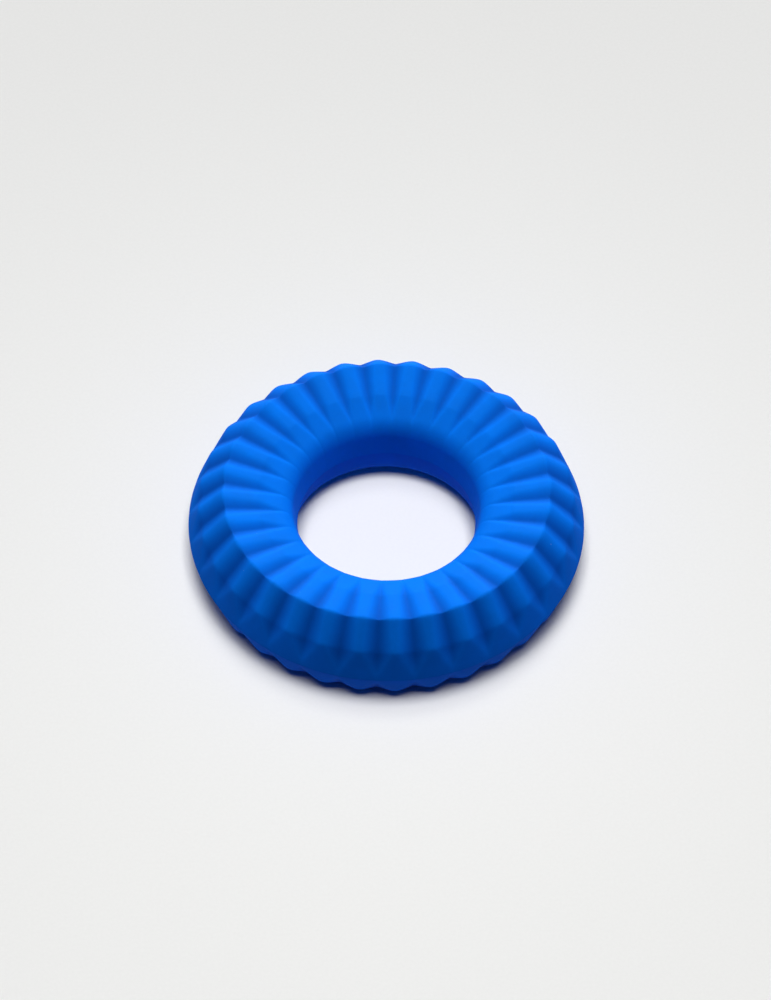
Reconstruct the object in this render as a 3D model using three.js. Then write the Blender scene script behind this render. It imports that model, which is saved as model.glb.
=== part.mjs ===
// Ribbed friction ring for opening screw-back watch cases, one solid moulding in
// soft silicone rubber. It lies flat on z = 0 with its axis on +Z. Millimetres.
//
// The ring is the same both ways up. From its blunt outer edge it rises over a
// shoulder to a narrow ridge, which it rests and grips on, slopes gently down inwards
// to a step, and then more steeply to the lip of a plain bore. V-shaped flutes cross
// the upper and the lower half, one above the other, and leave 32 rounded ribs between
// them. They run out at the outer edge, where the mould parts, and before the lip.

import * as THREE from 'three';
import { ParametricGeometry } from 'three/addons/geometries/ParametricGeometry.js';

// Driving dimensions
const OUTER_DIAMETER = 50;
const BORE_DIAMETER = 22.6;
const HEIGHT = 13.8;
const RIBS = 32;
const FLUTE_DEPTH_SHOULDER = 0.62;
const FLUTE_DEPTH_RIDGE = 0.55;
const FLUTE_DEPTH_STEP = 0.42;

// Half the height of the plain bands at the outer edge and in the middle of the bore.
const HALF_BAND = 0.35;

// The ring's section is shrunk towards this radius, at mid-height, where a flute cuts it.
const SECTION_MIDDLE_RADIUS = 18;

// The upper half of the section, from the outer edge to the bore: distance from the
// axis, rise above mid-height, and depth of the flutes there. The shoulder, the step and
// the lip are each two points, because their corners are blunted.
const UPPER_OUTLINE = [
  { radius: OUTER_DIAMETER / 2, rise: HALF_BAND, flute: 0 },
  { radius: 23.85, rise: 3.7, flute: FLUTE_DEPTH_SHOULDER },
  { radius: 23.5, rise: 4.1, flute: FLUTE_DEPTH_SHOULDER },
  { radius: 20.7, rise: HEIGHT / 2, flute: FLUTE_DEPTH_RIDGE },
  { radius: 20.25, rise: HEIGHT / 2, flute: FLUTE_DEPTH_RIDGE },
  { radius: 16.35, rise: 6.0, flute: FLUTE_DEPTH_STEP },
  { radius: 15.8, rise: 5.8, flute: FLUTE_DEPTH_STEP },
  { radius: 12.55, rise: 4.1, flute: 0 },
  { radius: 12.25, rise: 3.75, flute: 0 },
  { radius: BORE_DIAMETER / 2, rise: HALF_BAND, flute: 0 },
];

// One rib from valley to valley: how far across each line of points lies, as a part
// of the rib's width, and how deep it lies, as a part of the flute's depth. The top of
// the rib is a narrow flat land, and a shoulder on each side rounds it off.
const RIB_LINES = [
  { across: -0.5, depth: 1 },
  { across: -0.2, depth: 0.32 },
  { across: -0.06, depth: 0 },
  { across: 0.06, depth: 0 },
  { across: 0.2, depth: 0.32 },
];

// The whole section, anticlockwise: the upper outline, then its mirror image below.
function sectionOutline() {
  const lower = UPPER_OUTLINE.map((point) => ({ ...point, rise: -point.rise }));
  return [...UPPER_OUTLINE, ...lower.reverse()];
}

// The ring's surface: u goes round the ring, rib by rib, and v round the section.
function ringGeometry() {
  const outline = sectionOutline();
  const stations = RIBS * RIB_LINES.length;
  const surface = (u, v, target) => {
    const point = outline[Math.round(v * outline.length) % outline.length];
    const station = Math.round(u * stations) % stations;
    const rib = Math.floor(station / RIB_LINES.length);
    const line = RIB_LINES[station % RIB_LINES.length];
    const angle = 2 * Math.PI * (rib + line.across) / RIBS;
    const outward = point.radius - SECTION_MIDDLE_RADIUS;
    const shrink = 1 - point.flute * line.depth / Math.hypot(outward, point.rise);
    const radius = SECTION_MIDDLE_RADIUS + outward * shrink;
    const z = HEIGHT / 2 + point.rise * shrink;
    target.set(radius * Math.cos(angle), radius * Math.sin(angle), z);
  };
  return new ParametricGeometry(surface, stations, outline.length);
}

const silicone = new THREE.MeshStandardMaterial({ color: 0x0a5fd0, roughness: 0.6, metalness: 0 });

const ringBody = new THREE.Mesh(ringGeometry(), silicone);
ringBody.name = 'ring_body';

const frictionRing = new THREE.Group();
frictionRing.add(ringBody);

export default frictionRing;
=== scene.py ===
# %% [markdown]
# # A ribbed silicone ring for opening screw-back watch cases
#
# The real tool is one soft moulding: a thick ring that is pressed on the back of a watch
# and turned, so that friction alone unscrews the case back. Its section is a ten-sided
# outline with blunt corners, and V-shaped flutes leave 32 rounded ribs on each face.
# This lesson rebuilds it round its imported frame: the section is drawn first, spun into
# a ring, given its moulding lines, fluted with a painted vertex group, coloured as matte
# silicone, and then set on pale paper under soft light.

# %% Load the frame
import math

import bpy
import bmesh
from mathutils import Matrix, Vector


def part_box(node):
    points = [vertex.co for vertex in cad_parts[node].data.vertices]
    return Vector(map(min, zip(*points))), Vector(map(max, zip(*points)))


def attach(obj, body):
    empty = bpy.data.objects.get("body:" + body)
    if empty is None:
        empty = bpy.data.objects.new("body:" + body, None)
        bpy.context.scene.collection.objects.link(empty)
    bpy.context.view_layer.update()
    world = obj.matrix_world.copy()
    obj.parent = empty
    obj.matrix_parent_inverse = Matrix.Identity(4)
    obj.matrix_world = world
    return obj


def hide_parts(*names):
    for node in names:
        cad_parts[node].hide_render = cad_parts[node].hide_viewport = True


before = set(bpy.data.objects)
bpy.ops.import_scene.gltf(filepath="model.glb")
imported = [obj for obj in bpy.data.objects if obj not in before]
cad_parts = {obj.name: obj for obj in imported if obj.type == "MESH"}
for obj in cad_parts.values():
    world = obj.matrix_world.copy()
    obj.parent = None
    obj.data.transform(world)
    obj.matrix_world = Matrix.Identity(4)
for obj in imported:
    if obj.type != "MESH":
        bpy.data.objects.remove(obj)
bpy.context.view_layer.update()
low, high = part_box("ring_body")

# %% [markdown]
# ## Measures
#
# The frame already has the ring's size, and it stands on z = 0 with its axis on +Z. Only
# its mid-height is taken from there. The section's own corners come next, given in
# millimetres from the axis and from mid-height, as on a drawing.

# %% Driving sizes
MM = 0.001
MIDDLE = (low.z + high.z) / 2
RIBS = 32
print("outer radius", high.x, "mid-height", MIDDLE, "ribs", RIBS)

# %% [markdown]
# ## The section
#
# The section could be a curve with a bevel, but a mesh outline is easier to count: five
# flats on each half, met by corners that the mould rounds off. A ten-cornered circle has
# the right number of corners, so each of its vertices is moved to a corner, each corner
# is bevelled by its own radius, and the flats are then cut into short equal pieces that
# the flutes can bend.

# %% Corners of the section
# Each corner: distance from the axis, rise above mid-height, radius of its rounding.
UPPER_CORNERS = [
    (25.00, 0.00, 0.5),
    (23.74, 3.89, 0.9),
    (20.61, 6.97, 0.6),
    (16.08, 5.93, 1.0),
    (12.02, 4.16, 2.5),
    (11.26, 0.00, 1.0),
]
OUTER_EDGE, SHOULDER, RIDGE, STEP, LIP, BORE = [
    Vector((radius, rise)) for radius, rise, _ in UPPER_CORNERS
]
LOWER_CORNERS = [(radius, -rise, rounding) for radius, rise, rounding in UPPER_CORNERS[-2:0:-1]]
CORNERS = UPPER_CORNERS + LOWER_CORNERS
ARC_STEPS = 4
FLAT_CUTS = 7
SHORTEST_FLAT = 1.5
SAME_PLACE = 1e-6
print("corners", len(CORNERS))


def section_point(radius, rise):
    """A point of the section, from millimetres on the drawing to metres in the frame."""
    return Vector((radius * MM, 0.0, MIDDLE + rise * MM))


def deselect_all():
    """Leave nothing selected, so that the next operator acts on one piece only."""
    for item in bpy.context.selected_objects:
        item.select_set(False)


def select_vertices(piece, wanted):
    """In edit mode, select only the vertices that a test accepts, and count them."""
    mesh = bmesh.from_edit_mesh(piece.data)
    bpy.ops.mesh.select_all(action="DESELECT")
    count = 0
    for vertex in mesh.verts:
        if wanted(vertex.co):
            vertex.select_set(True)
            count += 1
    mesh.select_flush(True)
    bmesh.update_edit_mesh(piece.data)
    return count


# %% Draw the outline
deselect_all()
bpy.ops.mesh.primitive_circle_add(
    vertices=len(CORNERS),
    radius=10 * MM,
    rotation=(math.pi / 2, 0, 0),
)
ring = bpy.context.object
ring.name = "ribbed_ring"
ring.data.name = "ribbed_ring"
bpy.ops.object.transform_apply(location=True, rotation=True, scale=True)
starts = [vertex.co.copy() for vertex in ring.data.vertices]
bpy.ops.object.mode_set(mode="EDIT")
bpy.ops.mesh.select_mode(type="VERT")
for start, (radius, rise, _) in zip(starts, CORNERS):
    select_vertices(ring, lambda co: (co - start).length < SAME_PLACE)
    bpy.ops.transform.translate(value=section_point(radius, rise) - start)
print("corners drawn", len(ring.data.vertices))


# %% Round the corners and cut the flats
def setback(index):
    """How far from a corner its rounding starts, from the turn of the outline there."""
    before = Vector(CORNERS[index - 1][:2])
    here = Vector(CORNERS[index][:2])
    after = Vector(CORNERS[(index + 1) % len(CORNERS)][:2])
    turn = (here - before).angle(after - here)
    return CORNERS[index][2] * MM * math.tan(turn / 2)


for index, (radius, rise, _) in enumerate(CORNERS):
    corner = section_point(radius, rise)
    select_vertices(ring, lambda co: (co - corner).length < SAME_PLACE)
    bpy.ops.mesh.bevel(offset=setback(index), segments=ARC_STEPS, profile=0.5, affect="VERTICES")

outline = bmesh.from_edit_mesh(ring.data)
bpy.ops.mesh.select_mode(type="EDGE")
bpy.ops.mesh.select_all(action="DESELECT")
for edge in outline.edges:
    edge.select_set(edge.calc_length() > SHORTEST_FLAT * MM)
bmesh.update_edit_mesh(ring.data)
bpy.ops.mesh.subdivide(number_cuts=FLAT_CUTS)
print("points in the section", len(bmesh.from_edit_mesh(ring.data).verts))

# %% [markdown]
# ## Spinning the ring
#
# The outline is spun a whole turn about the axis. Every rib gets the same number of
# steps, an even one, so that each crest and each valley has a line of vertices of its
# own. The spin's first and last copies lie on each other and are merged, and the normals
# are then made to point outwards, because a spin may turn a shape inside out.

# %% Spin
STEPS_PER_RIB = 24
bpy.ops.mesh.select_mode(type="VERT")
bpy.ops.mesh.select_all(action="SELECT")
bpy.ops.mesh.spin(steps=RIBS * STEPS_PER_RIB, angle=2 * math.pi, center=(0, 0, 0), axis=(0, 0, 1))
bpy.ops.mesh.select_all(action="SELECT")
bpy.ops.mesh.remove_doubles(threshold=0.001 * MM)
bpy.ops.mesh.normals_make_consistent(inside=False)
print("ring", len(bmesh.from_edit_mesh(ring.data).faces), "faces")

# %% [markdown]
# ## The moulding lines
#
# The two halves of the mould meet at mid-height, and a little silicone creeps between
# them. After trimming, a hair-thin raised line is left round the outside and another
# round the bore. Each is one loop of vertices, pushed out along its normals.

# %% Raise the moulding lines
PARTING_LINE_HEIGHT = 0.045
BORE_LINE_HEIGHT = 0.03
for line_radius, line_height in ((OUTER_EDGE.x, PARTING_LINE_HEIGHT), (BORE.x, BORE_LINE_HEIGHT)):
    found = select_vertices(
        ring,
        lambda co: abs(co.z - MIDDLE) < 0.01 * MM
        and abs(math.hypot(co.x, co.y) - line_radius * MM) < 0.5 * MM,
    )
    bpy.ops.transform.shrink_fatten(value=line_height * MM)
    print("moulding line at radius", line_radius, "mm:", found, "vertices")
bpy.ops.object.mode_set(mode="OBJECT")

# %% [markdown]
# ## The flutes
#
# On the real mould each flute is a V-shaped cut. It is deepest at the shoulder, a little
# shallower over the ridge and down to the step, and it runs out softly before the outer
# edge and before the lip of the bore. Modelling each V by hand would take hundreds
# of cuts, so the depth is painted as a vertex group instead, and one Displace modifier
# pushes the surface in along its normals. A V that runs out keeps the slope of its
# sides, so it gets narrower as it gets shallower. That is why the paint is the full V
# minus what is missing from its depth.

# %% Depth along a flute
FLUTE_DEPTH = 0.58
SHARE_AT_RIDGE = 0.87
SHARE_AT_STEP = 0.68
RUN_OUT_OUTER_RISE = 0.5
RUN_OUT_INNER = 0.82


def share_of_depth(radius, rise):
    """How deep the valley is at a place on the section, as a share of the deepest."""
    if radius > SHOULDER.x:
        return (rise - RUN_OUT_OUTER_RISE) / (SHOULDER.y - RUN_OUT_OUTER_RISE)
    if radius > RIDGE.x:
        along = (SHOULDER.x - radius) / (SHOULDER.x - RIDGE.x)
        return 1 + (SHARE_AT_RIDGE - 1) * along
    if radius > STEP.x:
        along = (RIDGE.x - radius) / (RIDGE.x - STEP.x)
        return SHARE_AT_RIDGE + (SHARE_AT_STEP - SHARE_AT_RIDGE) * along
    along = (STEP.x - radius) / (STEP.x - LIP.x) / RUN_OUT_INNER
    return SHARE_AT_STEP * (1 - along)


# %% Depth across a flute
CREST_ROUNDING = 0.14
VALLEY_ROUNDING = 0.09
RUN_OUT_SOFTNESS = 0.17
PLAIN_BELOW = -0.3


def rounded_tip(across, rounding):
    """A straight slope from 0 to 1 whose lower end is rounded off."""
    full = math.hypot(1, rounding) - rounding
    return (math.hypot(across, rounding) - rounding) / full


def rounded_v(across):
    """Depth of the V from 0 on the crest to 1 in the valley, with both ends rounded."""
    return 1 - rounded_tip(1 - rounded_tip(across, CREST_ROUNDING), VALLEY_ROUNDING)


def across_rib(co):
    """Where a point lies across its rib: 0 on the crest, 1 in the valley beside it."""
    turn = math.atan2(co.y, co.x) / (2 * math.pi) * RIBS
    return abs(turn - round(turn)) * 2


def flute_paint(co):
    """The weight of one vertex: 0 on the plain surface, 1 at the deepest place."""
    rise = abs(co.z - MIDDLE) / MM
    radius = math.hypot(co.x, co.y) / MM
    share = share_of_depth(radius, rise)
    if share < PLAIN_BELOW:
        return 0.0
    cut = rounded_v(across_rib(co)) - 1 + share
    return min((cut + math.hypot(cut, RUN_OUT_SOFTNESS)) / 2, 1.0)


# %% Paint and press the flutes
weights = [flute_paint(vertex.co) for vertex in ring.data.vertices]
flutes = ring.vertex_groups.new(name="flutes")
for index, weight in enumerate(weights):
    flutes.add([index], weight, "REPLACE")
deselect_all()
bpy.context.view_layer.objects.active = ring
ring.select_set(True)
press = ring.modifiers.new("press flutes", "DISPLACE")
press.direction = "NORMAL"
press.mid_level = 0.0
press.strength = -FLUTE_DEPTH * MM
press.vertex_group = "flutes"
bpy.ops.object.modifier_apply(modifier=press.name)
bpy.ops.object.shade_smooth()
print("deepest paint", max(weights), "deepest flute", FLUTE_DEPTH, "mm")

# %% [markdown]
# The silicone needs to know later how deep in a flute it lies, to paint shade into the
# valleys, and shaders read mesh attributes, not vertex groups. So the same paint is kept
# as an attribute.

# %% Keep the paint for the material
depth_attribute = ring.data.attributes.new("flute_depth", "FLOAT", "POINT")
depth_attribute.data.foreach_set("value", weights)
ring.vertex_groups.clear()
print("attribute", depth_attribute.name, "on", len(weights), "vertices")

# %% [markdown]
# ## The silicone
#
# The real ring is solid-coloured silicone rubber, probably moulded against a finely
# blasted cavity: strongly blue, matte, and with almost no highlight. What the eye notices
# is that the flutes' valleys look darker than their flanks, probably because light that
# enters a valley is caught by the rubber on both sides. The lights alone gave too little
# of that here, so the shade in the valleys, and a faint highlight along the crests, are
# painted into the colour from the flute depth, which is simple, quick to render and easy
# to adjust. Noise adds the pigment's faint clouding, the mould's grain and the few specks
# of dust that silicone picks up.

# %% Colours and nodes


def linear(hex_colour):
    """An sRGB hex colour as the linear red, green, blue and alpha that Blender's sockets take."""
    channels = []
    for start in (1, 3, 5):
        value = int(hex_colour[start:start + 2], 16) / 255
        channels.append(value / 12.92 if value <= 0.04045 else ((value + 0.055) / 1.055) ** 2.4)
    return (*channels, 1.0)


def add_node(tree, kind, settings=None, inputs=None, links=None):
    """Add a node, set its settings and its plain inputs, and link other nodes' outputs to it."""
    node = tree.nodes.new(kind)
    for name, value in (settings or {}).items():
        setattr(node, name, value)
    for name, value in (inputs or {}).items():
        node.inputs[name].default_value = value
    for name, source in (links or {}).items():
        tree.links.new(source, node.inputs[name])
    return node


def new_material(name):
    """An empty node material with its output node."""
    material = bpy.data.materials.new(name)
    material.use_nodes = True
    material.node_tree.nodes.clear()
    return material, material.node_tree


print("plain blue in linear light", linear("#0074E8"))

# %% Pigment, with painted shade deeper in the flutes
silicone, tree = new_material("moulded_silicone")
place = add_node(tree, "ShaderNodeTexCoord").outputs["Object"]
depth = add_node(tree, "ShaderNodeAttribute", {"attribute_name": "flute_depth"})
pigment_and_valley_shade = add_node(tree, "ShaderNodeValToRGB", links={"Fac": depth.outputs["Fac"]})
ramp = pigment_and_valley_shade.color_ramp
# Painted shade: the blue darkens from the plain surface into the valleys, and the stop at 0.15 is
# a faint painted highlight along the crests.
ramp.elements[0].color = linear("#0074E8")
ramp.elements[1].color = linear("#0051B6")
ramp.elements.new(0.15).color = linear("#0075EA")
ramp.elements.new(0.4).color = linear("#006BDD")
ramp.elements.new(0.7).color = linear("#005ECA")
# Pigment clouds, where the batch was not milled quite evenly.
CLOUD_WIDTH = 4 * MM
clouds = add_node(
    tree,
    "ShaderNodeTexNoise",
    inputs={"Scale": 1 / CLOUD_WIDTH, "Detail": 3.0, "Roughness": 0.6},
    links={"Vector": place},
)
cloud_value = add_node(
    tree,
    "ShaderNodeMapRange",
    inputs={"From Min": 0.3, "From Max": 0.7, "To Min": 0.94, "To Max": 1.06},
    links={"Value": clouds.outputs["Fac"]},
)
clouded = add_node(
    tree,
    "ShaderNodeHueSaturation",
    links={"Color": pigment_and_valley_shade.outputs["Color"], "Value": cloud_value.outputs["Result"]},
)
print("pigment stops", [round(stop.position, 2) for stop in ramp.elements])

# %% Dust specks
# Lint and dust cling to silicone. Real specks are 0.02 to 0.1 mm; these are drawn up to
# 0.15 mm wide. They sit in the cells of a 1.7 mm pattern, and only one in nine is kept.
SPECK_CELLS_PER_METRE = 600.0
SPECK_RADIUS = 0.045
SPECKS_KEPT = 0.11
cells = add_node(
    tree,
    "ShaderNodeTexVoronoi",
    inputs={"Scale": SPECK_CELLS_PER_METRE},
    links={"Vector": place},
)
speck = add_node(
    tree,
    "ShaderNodeMath",
    {"operation": "LESS_THAN"},
    {1: SPECK_RADIUS},
    {0: cells.outputs["Distance"]},
)
chosen = add_node(tree, "ShaderNodeSeparateColor", links={"Color": cells.outputs["Color"]})
kept = add_node(
    tree,
    "ShaderNodeMath",
    {"operation": "LESS_THAN"},
    {1: SPECKS_KEPT},
    {0: chosen.outputs["Red"]},
)
speck_here = add_node(
    tree,
    "ShaderNodeMath",
    {"operation": "MULTIPLY"},
    None,
    {0: speck.outputs["Value"], 1: kept.outputs["Value"]},
)
dusty = add_node(
    tree,
    "ShaderNodeMix",
    {"data_type": "RGBA"},
    {7: linear("#4E8FEC")},
    {0: speck_here.outputs["Value"], 6: clouded.outputs["Color"]},
)
print("nodes so far", len(tree.nodes))

# %% Grain and sheen
# The blasted mould leaves a grain of about 0.05 mm, too fine to draw at this distance;
# it is drawn at 0.25 mm and very shallow, so that it only breaks up the flats.
GRAIN_WIDTH = 0.25 * MM
GRAIN_HEIGHT = 0.02 * MM
grain = add_node(
    tree,
    "ShaderNodeTexNoise",
    inputs={"Scale": 1 / GRAIN_WIDTH, "Detail": 2.0, "Roughness": 0.5},
    links={"Vector": place},
)
grain_bump = add_node(
    tree,
    "ShaderNodeBump",
    inputs={"Strength": 0.35, "Distance": GRAIN_HEIGHT},
    links={"Height": grain.outputs["Fac"]},
)
# Handling polishes some places a little more than others.
sheen = add_node(
    tree,
    "ShaderNodeMapRange",
    inputs={"From Min": 0.3, "From Max": 0.7, "To Min": 0.64, "To Max": 0.74},
    links={"Value": clouds.outputs["Fac"]},
)
shader = add_node(
    tree,
    "ShaderNodeBsdfPrincipled",
    inputs={"IOR": 1.41, "Specular IOR Level": 0.04},
    links={
        "Base Color": dusty.outputs[2],
        "Roughness": sheen.outputs["Result"],
        "Normal": grain_bump.outputs["Normal"],
    },
)
add_node(tree, "ShaderNodeOutputMaterial", links={"Surface": shader.outputs["BSDF"]})
ring.data.materials.clear()
ring.data.materials.append(silicone)
print("material", silicone.name, "with", len(tree.nodes), "nodes")

# %% Tie the ring to the frame
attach(ring, "root")
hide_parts("ring_body")

# %% [markdown]
# ## The paper
#
# The ring lies on a sheet of warm white paper with a fine tooth. One large plane is
# enough. A bright sheet under a small object would throw a lot of light up its sides,
# and here the ring's lower faces stay deep blue, so the paper is made greyer for every
# ray but the camera's own: it looks white, yet bounces only about a third as much light,
# and with a faint violet cast that keeps the shaded rubber strongly blue. This is a
# stage trick and not how paper behaves; without it the ring's lower faces are too bright.

# %% The paper sheet
deselect_all()
bpy.ops.mesh.primitive_plane_add(size=6.0, location=(0, 0, 0))
floor = bpy.context.object
floor.name = "paper_floor"
paper, tree = new_material("matte_paper")
place = add_node(tree, "ShaderNodeTexCoord").outputs["Object"]
# Paper fibres are about 0.03 mm wide; the tooth is drawn at 0.4 mm.
TOOTH_WIDTH = 0.4 * MM
tooth = add_node(
    tree,
    "ShaderNodeTexNoise",
    inputs={"Scale": 1 / TOOTH_WIDTH, "Detail": 2.0},
    links={"Vector": place},
)
tone = add_node(
    tree,
    "ShaderNodeMapRange",
    inputs={"From Min": 0.3, "From Max": 0.7, "To Min": 0.99, "To Max": 1.01},
    links={"Value": tooth.outputs["Fac"]},
)
rays = add_node(tree, "ShaderNodeLightPath")
sheet = add_node(
    tree,
    "ShaderNodeMix",
    {"data_type": "RGBA"},
    {6: linear("#9C8FA8"), 7: linear("#F1F1EE")},
    {0: rays.outputs["Is Camera Ray"]},
)
toned = add_node(
    tree,
    "ShaderNodeHueSaturation",
    links={"Color": sheet.outputs[2], "Value": tone.outputs["Result"]},
)
shader = add_node(
    tree,
    "ShaderNodeBsdfPrincipled",
    inputs={"Roughness": 0.95, "Specular IOR Level": 0.0},
    links={"Base Color": toned.outputs["Color"]},
)
add_node(tree, "ShaderNodeOutputMaterial", links={"Surface": shader.outputs["BSDF"]})
floor.data.materials.append(paper)
print("floor", floor.name, tuple(floor.dimensions))

# %% [markdown]
# ## The camera
#
# A long lens from about two thirds of a metre, looking down at a little over 51 degrees,
# keeps the ring nearly free of perspective. The view is turned a few degrees about the
# axis, which sets where the ribs fall, and tipped by less than one degree.

# %% Camera
VIEW_BEARING = math.radians(-3.42)
VIEW_ELEVATION = math.radians(51.59)
VIEW_PITCH = math.radians(51.3486)
VIEW_ROLL = math.radians(0.821)
VIEW_DISTANCE = 0.673
VIEW_SIDESTEP = -0.148 * MM
camera_data = bpy.data.cameras.new("camera")
camera_data.sensor_width = 36.0
camera_data.lens = 191.6
camera = bpy.data.objects.new("camera", camera_data)
bpy.context.scene.collection.objects.link(camera)
turn = Matrix.Rotation(VIEW_BEARING, 3, "Z")
tilt = Matrix.Rotation(math.pi / 2 - VIEW_PITCH, 3, "X")
roll = Matrix.Rotation(VIEW_ROLL, 3, "Z")
back = VIEW_DISTANCE * math.cos(VIEW_ELEVATION)
rise = VIEW_DISTANCE * math.sin(VIEW_ELEVATION)
camera.location = turn @ Vector((VIEW_SIDESTEP, -back, rise)) + Vector((0, 0, MIDDLE))
camera.rotation_euler = (turn @ tilt @ roll).to_euler()
bpy.context.scene.camera = camera
bpy.context.scene.view_settings.view_transform = "Standard"
print("camera at", [round(value, 3) for value in camera.location])

# %% [markdown]
# ## The lights
#
# Soft boxes behind and above the ring light its top and inner slopes, and leave the
# slope that faces the viewer in shade. The paper is nearly shadowless all the same, apart
# from a tight dark line where the ring stands. No one set of lights does both, so light
# linking gives the ring and the paper a set each, as in a product studio where the sheet
# is lit on its own. The paper's own lights come from the viewer's side and
# high up, which hides most of their shadow under the ring. A small pool of light adds
# the faint glow on the sheet round the ring.

# %% A soft box


def soft_box(name, bearing, elevation, distance, size, energy, lit, colour="#FFFFFF"):
    """A square soft box that faces the ring from a bearing and an elevation, in degrees."""
    data = bpy.data.lights.new(name, "AREA")
    data.shape = "SQUARE"
    data.size = size
    data.energy = energy
    data.color = linear(colour)[:3]
    light = bpy.data.objects.new(name, data)
    bpy.context.scene.collection.objects.link(light)
    side = VIEW_BEARING - math.radians(bearing)
    flat = distance * math.cos(math.radians(elevation))
    up = distance * math.sin(math.radians(elevation))
    light.location = (-flat * math.sin(side), flat * math.cos(side), up)
    direction = Vector((0, 0, MIDDLE)) - light.location
    light.rotation_euler = direction.to_track_quat("-Z", "Y").to_euler()
    lit_only = bpy.data.collections.new(name + " lights only")
    lit_only.objects.link(lit)
    light.light_linking.receiver_collection = lit_only
    print(name, "at", [round(value, 3) for value in light.location])
    return light


# %% Lights on the ring
soft_box("low behind", 0, 20, 0.8, 0.5, 3.7, ring)
soft_box("low left", -75, 20, 0.8, 0.5, 1.1, ring, "#FFE8FF")
soft_box("high behind", 0, 50, 0.8, 0.5, 2.5, ring)
soft_box("over", 0, 85, 0.35, 0.2, 0.64, ring)
soft_box("right side", 70, 30, 0.8, 0.5, 1.6, ring, "#FFE0FF")

# %% Lights on the paper
front_box = soft_box("paper from the front", 180, 71.5, 2.0, 0.66, 33.5, floor)
soft_box("paper from above", 0, 88, 2.0, 0.6, 6.0, floor)
POOL_RADIUS = 41 * MM
POOL_DISTANCE = 0.6
pool_data = bpy.data.lights.new("pool", "SPOT")
pool_data.energy = 3.0
pool_data.spot_size = 2 * math.atan(POOL_RADIUS / POOL_DISTANCE)
pool_data.spot_blend = 0.5
pool_data.shadow_soft_size = 0.06
pool = bpy.data.objects.new("pool", pool_data)
bpy.context.scene.collection.objects.link(pool)
pool.location = front_box.location * 0.3  # on the same line as the front box, nearer
pool.rotation_euler = front_box.rotation_euler
pool.light_linking.receiver_collection = front_box.light_linking.receiver_collection
print("pool of light at", [round(value, 3) for value in pool.location])

# %% The room
# The room is pale where the camera sees it, above the paper. What it adds to the shade
# is very weak and bluish.
ROOM_LIGHT = 0.02
ROOM_SEEN = 0.95
world = bpy.data.worlds.new("room")
world.use_nodes = True
tree = world.node_tree
background = tree.nodes["Background"]
rays = add_node(tree, "ShaderNodeLightPath")
room_light = add_node(
    tree,
    "ShaderNodeMapRange",
    inputs={"To Min": ROOM_LIGHT, "To Max": ROOM_SEEN},
    links={"Value": rays.outputs["Is Camera Ray"]},
)
room_colour = add_node(
    tree,
    "ShaderNodeMix",
    {"data_type": "RGBA"},
    {6: linear("#7A86FF"), 7: linear("#E8EAEC")},
    {0: rays.outputs["Is Camera Ray"]},
)
tree.links.new(room_light.outputs["Result"], background.inputs["Strength"])
tree.links.new(room_colour.outputs[2], background.inputs["Color"])
bpy.context.scene.world = world
print("room", world.name, "seen at", ROOM_SEEN, "lighting at", ROOM_LIGHT)
